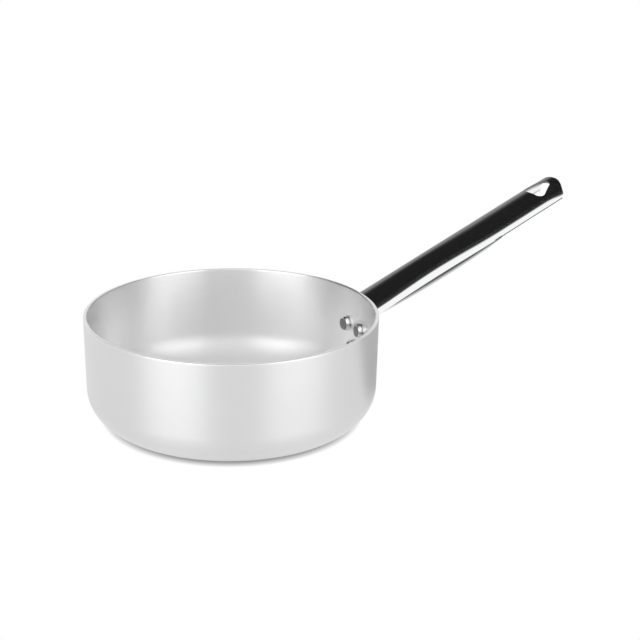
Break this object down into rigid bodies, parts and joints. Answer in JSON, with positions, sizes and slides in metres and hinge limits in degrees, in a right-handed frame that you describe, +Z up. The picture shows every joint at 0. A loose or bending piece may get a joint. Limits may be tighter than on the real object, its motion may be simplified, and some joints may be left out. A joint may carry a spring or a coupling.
{
  "type": "low saucepan",
  "caption": "Low straight-sided aluminium saucepan with a rounded base corner and a long hollow polished steel handle riveted to its wall and pierced for hanging.",
  "frame": {"origin": "middle of the flat base, on the pan's axis, where the pan stands on the hob", "axes": "+Z up along the pan's axis, +X towards the tip of the handle, +Y to complete a right-handed frame"},
  "size_m": [0.4613, 0.246, 0.1709],
  "materials": {
    "pan_aluminium": "satin turned aluminium with fine circular lines",
    "handle_steel": "mirror polished stainless steel",
    "rivet_steel": "polished stainless steel"
  },
  "bodies": {
    "root": {"pan_body": "pan_aluminium", "handle": "handle_steel", "rivet_upper_left": "rivet_steel", "rivet_upper_right": "rivet_steel", "rivet_lower": "rivet_steel"}
  },
  "joints": []
}
